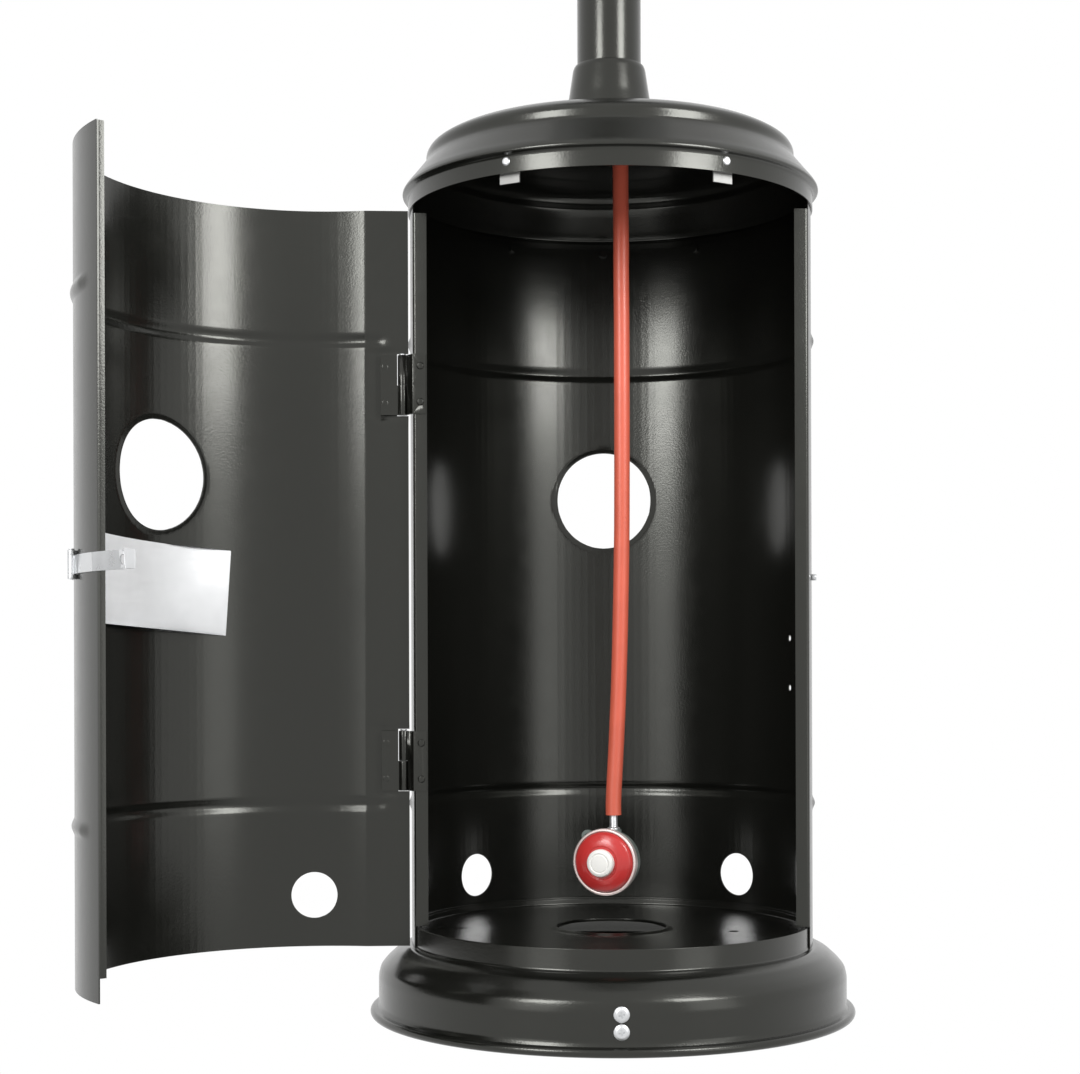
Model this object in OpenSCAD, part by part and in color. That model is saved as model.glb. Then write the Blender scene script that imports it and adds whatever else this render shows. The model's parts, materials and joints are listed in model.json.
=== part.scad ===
// Gas patio heater with a spun base, a round cylinder housing with a hinged door,
// a post, a burner head and a reflector. Millimetres, +Z up, front towards -Y,
// origin at the centre of the base on the ground.

/* [Base] */
// How far the upright skirt stands out past the housing
skirt_out = 31.5; // [29.5:0.5:40]
// How far the rolled foot stands out past the skirt
foot_out = 8; // [6:0.5:20]
// Height of the rolled foot rim
foot_h = 8; // [5:1:12]
// Height of the skirt up to its rounded shoulder
skirt_h = 38; // [34:1:48]
// Height of the seat that carries the housing
seat_z = 66; // [62:1:80]
// Wall of the spun base
base_t = 2; // [1.5:0.5:3]
// Height of the upright ring inside the housing, above the seat
ring_h = 20; // [14:1:30]
// Radius of the hole in the floor pan
floor_hole_r = 52.5; // [30:0.5:70]
// Height of the ballast ring
ballast_h = 40; // [20:1:48]

/* [Housing] */
// Outer radius of the cylinder housing and its door
shell_r = 190.5; // [188:0.5:193]
// Thickness of the housing sheet
sheet_t = 1.2; // [0.8:0.1:1.6]
// Height of the door
door_h = 690; // [560:5:760]
// Angle where the housing ends on the hinge side, from +X
shell_left_a = 193.6; // [190:0.1:195]
// Angle where the housing ends on the latch side, from +X
shell_right_a = 342.2; // [340:0.1:350]
// Width of the flange turned in along each upright edge
jamb_w = 12.5; // [8:0.5:20]
// Height of a pressed bead
bead_h = 16; // [10:1:24]
// How far a bead stands proud
bead_out = 2.5; // [1:0.5:3]
// Height of the upper bead
bead_top_z = 635; // [560:1:680]
// Height of the lower bead
bead_low_z = 200; // [180:1:240]
// Radius of the two large vents
vent_r = 50; // [30:1:60]
// Height of the two large vents
vent_z = 503; // [440:1:540]
// Radius of the small vents
small_vent_r = 21.5; // [12:0.5:30]
// Height of the small vents
small_vent_z = 115; // [112:1:150]

/* [Door] */
// Angle of the closed door's hinge edge
door_left_a = 195.8; // [195.6:0.1:197]
// Angle of the closed door's free edge
door_right_a = 339.4; // [330:0.1:339.6]
// How far the door stands open
door_open = 120; // [60:1:150]
// How far the hinge axis stands out to the side of the housing
hinge_out = 5.5; // [5:0.5:7.5]
// How far the hinge axis lies behind the housing's edge
hinge_back = 9.8; // [8.8:0.1:11]
// Radius of a hinge knuckle
knuckle_r = 4.5; // [3.5:0.5:5]
// Length of each hinge
hinge_h = 56; // [40:1:70]
// Height of the bottom of the upper hinge
hinge_top_z = 565; // [540:1:600]
// Height of the bottom of the lower hinge
hinge_low_z = 213; // [212:1:260]
// Height of the latch
latch_z = 412; // [390:1:430]
// Height of the latch strap
strap_h = 15; // [10:1:20]
// Height of the bare plate inside the door
plate_h = 79; // [50:1:90]

/* [Dome] */
// Height of the dome's collar, which fits over the housing
collar_h = 17; // [14:1:24]
// How far the dome's lip stands out past the housing
lip_out = 7; // [5:0.5:9.5]
// Rise of the dome above its lip
dome_rise = 54; // [48:1:70]
// Sheet of the dome
dome_t = 1.5; // [1:0.1:2]

/* [Post] */
// Outer radius of the post
post_r = 30.4; // [25:0.2:34]
// Wall of the post
post_t = 1.5; // [1:0.1:2.5]
// Height of the top of the post
post_top = 1680; // [1400:10:1800]
// Height of the cone that covers the foot of the post
cone_h = 72; // [50:1:90]
// Radius of that cone at the dome
cone_r = 50; // [46:1:60]

/* [Burner head] */
// Radius of the control housing
head_r = 105; // [98:1:125]
// Height of the straight part of the control housing
head_h = 140; // [120:1:180]
// Height of the tapered part below it
head_taper_h = 50; // [40:1:80]
// Radius of the perforated screen
screen_r = 94; // [80:1:96]
// Height of the perforated screen
screen_h = 260; // [200:5:320]
// Radius of the reflector
reflector_r = 406; // [300:1:450]
// Depth of the reflector
reflector_h = 88; // [60:1:120]
// Height of the reflector's flat centre above the screen
reflector_gap = 70; // [55:1:110]

/* [Gas line] */
// Diameter of the hose
hose_d = 15; // [10:0.5:16]
// Radius of the regulator's rim
reg_r = 32; // [28:0.5:34]
// Turn of the regulator about the upright, front face towards the left
reg_turn = -22; // [-30:1:0]
// Radius of the thread in the regulator's nut
inlet_r = 10.5; // [8:0.1:11]

/* [Hidden] */

$fn = 96;
eps = 0.01;
gap = 0.3;            // running clearance between parts that move past each other
shell_in = shell_r - sheet_t;
skirt_r = shell_r + skirt_out;
foot_r = skirt_r + foot_out;
lip_r = shell_r + lip_out;
door_low_z = seat_z + 1;
door_top_z = door_low_z + door_h;
collar_z = door_top_z + 1.5;
lip_z = collar_z + collar_h;
shell_top_z = collar_z + 9;
dome_z = lip_z + dome_rise;
collar_r = shell_r + 0.2 + dome_t;
ring_r = shell_in - 0.5;
ring_top = seat_z + ring_h;
floor_z = ring_top - 9;
function edge_x(a, r) = r * cos(a);
function edge_y(a, r) = r * sin(a);
hinge_x = -shell_r - hinge_out;
hinge_y = edge_y(shell_left_a, shell_r) + hinge_back;
ink = "#2d2e2a";
steel = "#c8c8c8";

// Turns to an angle about the upright, then points local Z outwards at a radius and height
module outward(a, r, z) {
    rotate([0, 0, a]) translate([r, 0, z]) rotate([0, 90, 0]) children();
}

// A curved band between two angles
module band(r_in, r_out, a0, a1, z0, z1) {
    rotate([0, 0, a0]) rotate_extrude(angle = a1 - a0, $fn = 144)
        translate([r_in, z0]) square([r_out - r_in, z1 - z0]);
}

// A curved band with its section given as points of radius and height
module section(points, a0, a1) {
    rotate([0, 0, a0]) rotate_extrude(angle = a1 - a0, $fn = 144) polygon(points);
}

// Moves what is drawn for the closed door to where the open door stands
module door_place() {
    translate([hinge_x, hinge_y, 0]) rotate([0, 0, -door_open])
        translate([-hinge_x, -hinge_y, 0]) children();
}

// The outline of a spun sheet: its outer points, then the same points shifted inwards
function spun(outer, t) = concat(outer,
    [for (i = [len(outer) - 1 : -1 : 0]) [max(outer[i][0] - t, 0), outer[i][1] - (i == 0 ? 0 : t)]]);

// A pan-head screw or rivet along local Z: head outside, shank inwards
module fastener(head_r, head_h, shank_r, shank_l) {
    cylinder(r1 = head_r, r2 = head_r * 0.72, h = head_h, $fn = 32);
    translate([0, 0, -shank_l]) cylinder(r = shank_r, h = shank_l + eps, $fn = 32);
}

// Base: spun cover, ballast, floor pan and the bracket behind the two front screws
screw_zs = [21, 36];
skirt_screw_r = 3;
bracket_y = -(skirt_r - base_t - 3);
boss_l = 1.75;
bracket_l = 46;
ballast_r = skirt_r - base_t - 12;

module base_cover() {
    outer = [[foot_r, 0], [foot_r, foot_h - 3], [foot_r - 2, foot_h], [skirt_r + 1, foot_h + 1],
        [skirt_r, foot_h + 3], [skirt_r, skirt_h], [skirt_r - 2, skirt_h + 8],
        [skirt_r - 8, skirt_h + 15], [skirt_r - 17, seat_z - 5], [skirt_r - 27, seat_z],
        [ring_r, seat_z], [ring_r, ring_top]];
    inner = [[ring_r - base_t, ring_top], [ring_r - base_t, seat_z - base_t],
        [skirt_r - 28, seat_z - base_t], [skirt_r - 18.5, seat_z - 7],
        [skirt_r - 10, skirt_h + 13], [skirt_r - 4, skirt_h + 7],
        [skirt_r - base_t, skirt_h], [skirt_r - base_t, foot_h + 1],
        [skirt_r - base_t + 1, foot_h - 2], [foot_r - 3, foot_h - 3], [foot_r - 3, 0]];
    color(ink) difference() {
        rotate_extrude($fn = 180) polygon(concat(outer, inner));
        for (z = screw_zs) translate([0, -skirt_r, z]) rotate([90, 0, 0])
            cylinder(r = skirt_screw_r + 0.1, h = 20, center = true, $fn = 32);
        for (a = shell_screw_as) outward(a, ring_r, shell_screw_z)
            cylinder(r = shell_screw_r + 0.1, h = 12, center = true, $fn = 32);
    }
}

module ballast_ring() {
    color("dimgray") difference() {
        rotate_extrude() translate([110, 0]) square([ballast_r - 110, ballast_h]);
        translate([0, -ballast_r, ballast_h / 2]) cube([60, 20, ballast_h + 2], center = true);
    }
}

module floor_pan() {
    pan_r = ring_r - base_t - 0.3;
    color(ink) difference() {
        rotate_extrude() polygon([[floor_hole_r, floor_z], [pan_r, floor_z], [pan_r, ring_top - 2],
            [pan_r - 1.5, ring_top - 2], [pan_r - 1.5, floor_z + 1.5], [floor_hole_r + 6, floor_z + 1.5],
            [floor_hole_r + 1.5, floor_z + 4], [floor_hole_r, floor_z + 4]]);
        for (p = [[-164, 3], [114, -25], [20, 158]])
            translate([p[0], p[1], floor_z - 1]) cylinder(r = 5, h = 6, $fn = 32);
    }
}

module ballast_bracket() {
    color("gray") difference() {
        union() {
            translate([-18, bracket_y, 4]) cube([36, 2.5, ballast_h - 1]);
            translate([-18, bracket_y, ballast_h]) cube([36, bracket_l, 3]);
            for (z = screw_zs) translate([0, bracket_y, z]) rotate([90, 0, 0])
                cylinder(r = 4.5, h = boss_l, $fn = 32);
        }
        for (z = screw_zs) translate([0, bracket_y, z]) rotate([90, 0, 0])
            cylinder(r = skirt_screw_r, h = 24, center = true, $fn = 32);
    }
}

module skirt_screws() {
    color(steel) for (z = screw_zs) translate([0, -skirt_r, z]) rotate([90, 0, 0]) {
        translate([0, 0, 0.02]) cylinder(r = 7, h = 1.4, $fn = 40);
        translate([0, 0, 1.2]) cylinder(r1 = 6, r2 = 4.2, h = 2.6, $fn = 40);
        translate([0, 0, -9.9]) cylinder(r = skirt_screw_r, h = 10, $fn = 32);
    }
}

// Housing: fixed rear shell, door, dome and what fastens them
shell_screw_as = [35, 90, 145];
shell_screw_z = seat_z + 11;
shell_screw_r = 2.5;
dome_screw_as = [60, 90, 120];
dome_screw_z = collar_z + 5;
dome_screw_r = 2.5;
keeper_a = 350.5;
keeper_r = 3;
strap_in = shell_r + 0.5;
strap_t = 1.6;
spare_hole_zs = [307, 356];

module bead(z, a0, a1) {
    section([[shell_r - 0.5, z - bead_h / 2], [shell_r + bead_out, z - bead_h / 5],
        [shell_r + bead_out, z + bead_h / 5], [shell_r - 0.5, z + bead_h / 2]], a0, a1);
}

module bead_groove(z, a0, a1) {
    section([[shell_in - 1, z - bead_h / 2 - 0.4], [shell_in + bead_out, z - bead_h / 5 + 0.5],
        [shell_in + bead_out, z + bead_h / 5 - 0.5], [shell_in - 1, z + bead_h / 2 + 0.4]],
        a0 + 0.6, a1 - 0.6);
}

module vent_rim(a, z) {
    difference() {
        intersection() {
            band(shell_in - 2.2, shell_r + 0.8, a - 25, a + 25, z - 80, z + 80);
            outward(a, shell_in, z) cylinder(r = vent_r + 5, h = 80, center = true);
        }
        outward(a, shell_in, z) cylinder(r = vent_r, h = 90, center = true);
    }
}

// A bent sheet round the axis with beads and vents
module pressed_sheet(a0, a1, z0, z1, bead_a0, bead_a1, big_a, small_as) {
    difference() {
        union() {
            band(shell_in, shell_r, a0, a1, z0, z1);
            bead(bead_top_z, bead_a0, bead_a1);
            bead(bead_low_z, bead_a0, bead_a1);
        }
        bead_groove(bead_top_z, bead_a0, bead_a1);
        bead_groove(bead_low_z, bead_a0, bead_a1);
        outward(big_a, shell_in, vent_z) cylinder(r = vent_r, h = 60, center = true);
        for (a = small_as) outward(a, shell_in, small_vent_z)
            cylinder(r = small_vent_r, h = 60, center = true, $fn = 64);
    }
    vent_rim(big_a, vent_z);
}

module rear_shell() {
    left_x = edge_x(shell_left_a, shell_r);
    left_y = edge_y(shell_left_a, shell_r);
    right_x = edge_x(shell_right_a, shell_r);
    right_y = edge_y(shell_right_a, shell_r);
    jamb_low = ring_top + 1;
    color(ink) difference() {
        union() {
            pressed_sheet(shell_right_a - 360, shell_left_a, seat_z, shell_top_z,
                shell_right_a - 354, shell_left_a - 6, 90, [45, 135]);
            translate([left_x, left_y - 0.2, jamb_low])
                cube([jamb_w, sheet_t, collar_z - 6 - jamb_low]);
            translate([right_x - jamb_w, right_y - 0.2, jamb_low])
                cube([jamb_w, sheet_t, collar_z - 6 - jamb_low]);
        }
        for (a = shell_screw_as) outward(a, shell_r, shell_screw_z)
            cylinder(r = shell_screw_r + 0.1, h = 12, center = true, $fn = 32);
        for (a = dome_screw_as) outward(a, shell_r, dome_screw_z)
            cylinder(r = dome_screw_r + 0.1, h = 12, center = true, $fn = 32);
        for (z = spare_hole_zs) outward(19, shell_r, z)
            cylinder(r = 3, h = 12, center = true, $fn = 32);
        outward(keeper_a, shell_r, latch_z) cylinder(r = keeper_r - 0.9, h = 12, center = true, $fn = 32);
    }
}

module shell_screws() {
    color(steel) for (a = shell_screw_as) outward(a, shell_r, shell_screw_z)
        fastener(5, 2.6, shell_screw_r, 3.8);
}

module dome() {
    outer = [[collar_r, collar_z], [collar_r, lip_z - 1.5], [lip_r, lip_z], [lip_r, lip_z + 2],
        [lip_r - 2.5, lip_z + 6], [lip_r - 6.5, lip_z + 10.5], [lip_r - 16, dome_z - 32],
        [lip_r - 23, dome_z - 23.5], [lip_r - 22.5, dome_z - 16], [lip_r - 25, dome_z - 11],
        [lip_r - 30, dome_z - 7.5], [lip_r - 37, dome_z - 4], [lip_r - 56, dome_z - 1],
        [cone_r + 8, dome_z], [0, dome_z]];
    inner = [[0, dome_z - 1.5], [cone_r + 8, dome_z - 1.5], [lip_r - 56.5, dome_z - 2.5],
        [lip_r - 37.8, dome_z - 5.5], [lip_r - 31, dome_z - 8.8], [lip_r - 26.3, dome_z - 12],
        [lip_r - 24, dome_z - 16.4], [lip_r - 24.6, dome_z - 24], [lip_r - 17.2, dome_z - 33],
        [lip_r - 7.7, lip_z + 9.5], [lip_r - 3.9, lip_z + 5.2], [lip_r - 1.5, lip_z + 1.5],
        [collar_r - dome_t, lip_z - 0.2], [collar_r - dome_t, collar_z]];
    color(ink) difference() {
        rotate_extrude($fn = 180) polygon(concat(outer, inner));
        translate([hose_top[0], hose_top[1], dome_z - 8]) cylinder(r = grommet_r, h = 12, $fn = 48);
        for (a = dome_screw_as) outward(a, collar_r, dome_screw_z)
            cylinder(r = dome_screw_r + 0.1, h = 12, center = true, $fn = 32);
        for (a = tab_as) outward(a, collar_r, tab_rivet_z)
            cylinder(r = tab_rivet_r + 0.1, h = 12, center = true, $fn = 32);
        for (a = foot_bolt_as) rotate([0, 0, a]) translate([foot_bolt_pcr, 0, dome_z - 8])
            cylinder(r = foot_bolt_r + 0.1, h = 12, $fn = 32);
    }
}

// Screw through collar and shell, with its nut inside
module dome_screws() {
    color(ink) for (a = dome_screw_as) {
        outward(a, collar_r, dome_screw_z) fastener(5, 2.4, dome_screw_r, collar_r - shell_in + 3.5);
        outward(a, shell_in - 3.5, dome_screw_z) cylinder(r = 4.6, h = 3.4, $fn = 6);
    }
}

// Angle tabs riveted inside the collar, which stop the door
tab_as = [240, 300];
tab_w = 20;
tab_rivet_r = 2;
tab_rivet_z = collar_z + 10;
tab_in = shell_in - 4.5;

module lip_tabs() {
    tab_out = sqrt(pow(collar_r - dome_t - 0.2, 2) - pow(tab_w / 2, 2));
    color(steel) for (a = tab_as) rotate([0, 0, a]) difference() {
        union() {
            translate([tab_out - 1.5, -tab_w / 2, collar_z + 1]) cube([1.5, tab_w, collar_h - 3]);
            translate([tab_in, -tab_w / 2, collar_z + 1]) cube([tab_out - tab_in, tab_w, 1.5]);
            translate([tab_in, -tab_w / 2, collar_z - 8]) cube([1.5, tab_w, 10.5]);
        }
        translate([0, 0, tab_rivet_z]) rotate([0, 90, 0])
            cylinder(r = tab_rivet_r + 0.1, h = lip_r + 5, $fn = 32);
    }
}

module tab_rivets() {
    color(steel) for (a = tab_as) outward(a, collar_r, tab_rivet_z) fastener(4, 1.4, tab_rivet_r, 4.5);
}

// Hinges: a leaf and upper knuckle on the shell's jamb, a leaf and lower knuckle on the door
pin_r = knuckle_r / 2;
leaf_t = 1.4;
hinge_zs = [hinge_low_z, hinge_top_z];
jamb_face_y = edge_y(shell_left_a, shell_r) - 0.2;
fixed_leaf_end = edge_x(shell_left_a, shell_r) + jamb_w - 1;
rivet_gaps = [0.2, 0.8];
fixed_rivet_x = fixed_leaf_end - 5;

hinge_edge = [edge_x(door_left_a, shell_r) - hinge_x, edge_y(door_left_a, shell_r) - hinge_y];
leaf_a = atan2(hinge_edge[1], hinge_edge[0]);
leaf_l = norm(hinge_edge);
web_w = 1.2;          // offset of the fixed leaf's web from the line of the door's leaf

// Works in the hinge's own frame: X from the pin to the door's edge, Y towards the shell
module hinge_frame(z) {
    translate([hinge_x, hinge_y, z]) rotate([0, 0, leaf_a]) children();
}

function hinge_point(v, w) = [hinge_x + v * cos(leaf_a) - w * sin(leaf_a),
    hinge_y + v * sin(leaf_a) + w * cos(leaf_a)];
function bend_v(y, w) = (y - hinge_y - w * cos(leaf_a)) / sin(leaf_a);

// The bent fixed leaf: from the knuckle to the shell's edge, then along the jamb
module bent_leaf(start, h) {
    front = jamb_face_y - leaf_t;
    linear_extrude(height = h) polygon([hinge_point(start, web_w),
        hinge_point(bend_v(front, web_w), web_w), [fixed_leaf_end, front],
        [fixed_leaf_end, jamb_face_y], hinge_point(bend_v(jamb_face_y, web_w + leaf_t), web_w + leaf_t),
        hinge_point(start, web_w + leaf_t)]);
}

module hinge_fixed_leaves() {
    half = hinge_h / 2;
    color(ink) for (z = hinge_zs) difference() {
        union() {
            hinge_frame(z + half + gap / 2) cylinder(r = knuckle_r, h = half - gap / 2, $fn = 40);
            translate([0, 0, z + half + gap / 2]) bent_leaf(3, half - gap / 2);
            translate([0, 0, z]) bent_leaf(knuckle_r + 1, half + gap);
        }
        hinge_frame(z - 1) cylinder(r = pin_r + 0.05, h = hinge_h + 2, $fn = 40);
        for (k = rivet_gaps) translate([fixed_rivet_x, jamb_face_y, z + k * hinge_h]) rotate([90, 0, 0])
            cylinder(r = 1.3, h = 10, center = true, $fn = 32);
    }
}

module hinge_fixed_rivets() {
    color("gray") for (z = hinge_zs, k = rivet_gaps)
        translate([fixed_rivet_x, jamb_face_y - leaf_t, z + k * hinge_h]) rotate([90, 0, 0])
            translate([0, 0, 0.02]) fastener(3.6, 1.2, 1.2, 1.2);
}

// The stud that the latch strap drops over
module keeper_stud() {
    color(steel) outward(keeper_a, shell_r, latch_z) {
        translate([0, 0, 0.05]) cylinder(r = keeper_r, h = 4.4, $fn = 32);
        translate([0, 0, -3.4]) cylinder(r = keeper_r - 1, h = 3.5, $fn = 32);
    }
}

// Door, drawn closed and then swung open
door_rivet_x = leaf_l - 5;
door_edge_w = 6;
flange_end = -5.5;     // end of the door's flange, past the hinge line
plate_a = 263.2;
plate_w = 153;
plate_z = 402.5;
plate_tilt = 3.6;
door_vent_a = 262;
door_small_vent_a = 215;

module door_shell() {
    edge_low = ring_top + 1;
    color(ink) door_place() difference() {
        union() {
            pressed_sheet(door_left_a, door_right_a, door_low_z, door_top_z,
                door_left_a + 6, door_right_a - 7, door_vent_a, [door_small_vent_a]);
            rotate([0, 0, door_right_a]) translate([shell_r - door_edge_w, -sheet_t - 0.1, edge_low])
                cube([door_edge_w - sheet_t / 2, sheet_t, door_top_z - 1 - edge_low]);
            hinge_frame(door_low_z) translate([flange_end, -sheet_t - 0.6, 0])
                cube([leaf_l + 2.6 - flange_end, sheet_t, door_h]);
        }
        for (z = hinge_zs) hinge_frame(z - 2) translate([flange_end - 1, -sheet_t - 2, 0])
            cube([knuckle_r + 3 - flange_end, sheet_t + 4, hinge_h + 5]);
        for (z = hinge_zs, k = rivet_gaps) hinge_frame(z + k * hinge_h)
            translate([door_rivet_x, 0, 0]) rotate([90, 0, 0])
                cylinder(r = 1.6, h = 8, center = true, $fn = 32);
    }
}

module hinge_door_leaves() {
    half = hinge_h / 2;
    color(ink) door_place() for (z = hinge_zs) difference() {
        union() {
            hinge_frame(z) cylinder(r = knuckle_r, h = half - gap / 2, $fn = 40);
            hinge_frame(z) translate([3, -0.6, 0]) cube([leaf_l - 3.5, leaf_t, half - gap / 2]);
            hinge_frame(z) translate([knuckle_r + 1, -0.6, 0])
                cube([leaf_l - knuckle_r - 1.5, leaf_t, hinge_h]);
        }
        hinge_frame(z - 1) cylinder(r = pin_r, h = hinge_h + 2, $fn = 40);
        for (k = rivet_gaps) hinge_frame(z + k * hinge_h)
            translate([door_rivet_x, 0, 0]) rotate([90, 0, 0])
                cylinder(r = 1.6, h = 8, center = true, $fn = 32);
    }
}

module hinge_door_rivets() {
    color("gray") door_place() for (z = hinge_zs, k = rivet_gaps)
        hinge_frame(z + k * hinge_h) translate([door_rivet_x, -sheet_t - 0.6, 0]) rotate([90, 0, 0])
            fastener(3.2, 1.2, 1.6, sheet_t + leaf_t);
}

module hinge_pins() {
    color(steel) door_place() for (z = hinge_zs) hinge_frame(z) {
        translate([0, 0, 0.05]) cylinder(r = pin_r - 0.02, h = hinge_h + 0.2, $fn = 40);
        translate([0, 0, hinge_h + 0.2]) cylinder(r = pin_r + 0.9, h = 1.2, $fn = 40);
    }
}

// Bare silver plate on the inside of the door
module door_plate() {
    color("gainsboro") door_place() intersection() {
        band(shell_in - 0.5, shell_in - 0.02, plate_a - 40, plate_a + 40, plate_z - 80, plate_z + 80);
        rotate([0, 0, plate_a]) translate([0, 0, plate_z]) rotate([plate_tilt, 0, 0])
            translate([100, -plate_w / 2, -plate_h / 2]) cube([120, plate_w, plate_h]);
    }
}

// Latch: a bracket and pin on the door, and a curved strap that reaches past the free edge
latch_a = 322.5;
latch_knuckle_r = 3.2;
latch_pin_r = 1.5;
latch_r = strap_in + latch_knuckle_r + 0.3;
strap_end_a = 354.5;
ear_h = 4;

module at_latch(z) {
    rotate([0, 0, latch_a]) translate([latch_r, 0, z]) children();
}

module latch_bracket() {
    color(steel) door_place() difference() {
        union() {
            band(shell_r, shell_r + 1.2, latch_a - 7, latch_a - 1.4,
                latch_z - strap_h / 2 - ear_h, latch_z + strap_h / 2 + ear_h);
            for (z = [latch_z - strap_h / 2 - ear_h, latch_z + strap_h / 2 + gap]) {
                at_latch(z) cylinder(r = latch_knuckle_r, h = ear_h - gap, $fn = 40);
                band(shell_r + 0.6, latch_r, latch_a - 1.8, latch_a - 0.4, z, z + ear_h - gap);
            }
        }
        at_latch(latch_z) cylinder(r = latch_pin_r, h = 80, center = true, $fn = 32);
    }
}

module latch_pin() {
    pin_h = strap_h + 2 * ear_h + 1;
    color("gray") door_place() at_latch(latch_z) {
        cylinder(r = latch_pin_r - 0.02, h = pin_h, center = true, $fn = 32);
        translate([0, 0, pin_h / 2 - 0.2]) cylinder(r = latch_pin_r + 0.9, h = 1, $fn = 32);
    }
}

module latch_strap() {
    low = latch_z - strap_h / 2;
    color(steel) door_place() difference() {
        union() {
            at_latch(low) cylinder(r = latch_knuckle_r, h = strap_h, $fn = 40);
            band(strap_in, strap_in + strap_t, latch_a + 0.2, strap_end_a, low, low + strap_h);
            rotate([0, 0, strap_end_a]) translate([strap_in + 0.4, -strap_t - 0.1, low])
                cube([10, strap_t, strap_h]);
        }
        at_latch(latch_z) cylinder(r = latch_pin_r + 0.05, h = 80, center = true, $fn = 32);
        outward(keeper_a, shell_r, latch_z) cylinder(r = keeper_r + 1, h = 20, center = true, $fn = 32);
    }
}

// Post: foot flange bolted through the dome, tapered cover and the tube
foot_bolt_as = [30, 150, 270];
foot_bolt_r = 3;
foot_bolt_pcr = post_r + 8.4;
foot_t = 4;
foot_r_out = post_r + 13.5;
cover_t = 1.2;

module post_foot() {
    color("dimgray") difference() {
        union() {
            translate([0, 0, dome_z]) cylinder(r = foot_r_out, h = foot_t);
            translate([0, 0, dome_z]) cylinder(r = post_r + 3, h = 24);
        }
        translate([0, 0, dome_z - 1]) cylinder(r = post_r + 0.05, h = 40);
        for (a = foot_bolt_as) rotate([0, 0, a]) translate([foot_bolt_pcr, 0, dome_z - 1])
            cylinder(r = foot_bolt_r + 0.1, h = 10, $fn = 32);
    }
}

module post_foot_bolts() {
    color(steel) for (a = foot_bolt_as) rotate([0, 0, a]) translate([foot_bolt_pcr, 0, dome_z]) {
        translate([0, 0, foot_t]) cylinder(r = 5, h = 3.5, $fn = 6);
        translate([0, 0, -7]) cylinder(r = foot_bolt_r, h = foot_t + 7.1, $fn = 32);
        translate([0, 0, -dome_t - 3.5]) cylinder(r = 5.4, h = 3.5, $fn = 6);
    }
}

module post_cover() {
    tip = post_r + 0.3 + cover_t;
    outer = [[cone_r, dome_z], [cone_r - 3.5, dome_z + 6], [post_r + 8, dome_z + cone_h * 0.58],
        [tip + 1.2, dome_z + cone_h - 4], [tip, dome_z + cone_h]];
    color(ink) rotate_extrude() polygon(concat(outer,
        [for (i = [len(outer) - 1 : -1 : 0]) [outer[i][0] - cover_t, outer[i][1]]]));
}

module post_tube() {
    color(ink) difference() {
        translate([0, 0, dome_z]) cylinder(r = post_r, h = post_top - dome_z);
        translate([0, 0, dome_z - 1]) cylinder(r = post_r - post_t, h = post_top - dome_z + 2);
    }
}

// Gas line: a pipe down the post, a hose hanging from the dome and the regulator on it
grommet_r = 9;
pipe_r = 5;
hose_top = [10.7, 0];
ferrule_h = 10;
hose_top_z = dome_z - dome_t - 2 - ferrule_h - 0.5;
reg_x = -4.8;
reg_z = 142;
nipple_at = [3.4, 11.1];
nipple_top = 44;
// Places along the hose between its two ends: x, y, height
hose_bends = [[10.7, 0, 780], [11, 0, 740], [11, 0, 700], [11.3, 0, 660], [11.3, 0, 620],
    [11.3, 0, 580], [11.3, 1, 540], [11.2, 2, 500], [11, 3, 460], [10.4, 4, 420],
    [9.6, 5, 380], [8.6, 6, 340], [7.3, 7.5, 300], [5.8, 8.5, 265], [4, 9, 230]];
hose_sides = 12;

module hose_grommet() {
    color("black") translate([hose_top[0], hose_top[1], dome_z - dome_t]) rotate_extrude()
        polygon([[pipe_r + 0.1, -2], [grommet_r + 3, -2], [grommet_r + 3, 0], [grommet_r, 0],
            [grommet_r, dome_t], [grommet_r + 3, dome_t], [grommet_r + 2, dome_t + 2],
            [pipe_r + 0.1, dome_t + 2]]);
}

module gas_pipe() {
    low = hose_top_z + 2;
    color("#b87333") translate([hose_top[0], hose_top[1], low]) difference() {
        cylinder(r = pipe_r, h = knob_z - valve_h / 2 - low, $fn = 40);
        translate([0, 0, -1]) cylinder(r = pipe_r - 1, h = knob_z - low, $fn = 40);
    }
}

module hose_ferrule() {
    color(steel) translate([hose_top[0], hose_top[1], hose_top_z]) difference() {
        cylinder(r = hose_d / 2 + 1.5, h = ferrule_h, $fn = 6);
        translate([0, 0, 2]) cylinder(r = pipe_r, h = ferrule_h, $fn = 40);
        translate([0, 0, -1]) cylinder(r = 3, h = ferrule_h, $fn = 40);
    }
}

function turned(p, a) = [p[0] * cos(a) - p[1] * sin(a), p[0] * sin(a) + p[1] * cos(a)];
hose_low = concat(turned(nipple_at, reg_turn) + [reg_x, 0], [reg_z + nipple_top]);
hose_route = concat([[hose_top[0], hose_top[1], hose_top_z]], hose_bends,
    [[hose_low[0], hose_low[1], hose_low[2] + hose_d], hose_low]);

module gas_hose() {
    n = hose_sides;
    rings = len(hose_route);
    points = [for (p = hose_route, i = [0 : n - 1])
        p + [cos(360 * i / n), sin(360 * i / n), 0] * hose_d / 2];
    sides = [for (k = [0 : rings - 2], i = [0 : n - 1]) let (j = (i + 1) % n)
        [k * n + i, (k + 1) * n + i, (k + 1) * n + j, k * n + j]];
    color("#d8452b") polyhedron(points, concat(sides,
        [[for (i = [0 : n - 1]) i], [for (i = [n - 1 : -1 : 0]) (rings - 1) * n + i]]));
}

// The regulator's own frame: Y runs from its red front to its inlet at the back
module at_regulator() {
    translate([reg_x, 0, reg_z]) rotate([0, 0, reg_turn]) children();
}

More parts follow.
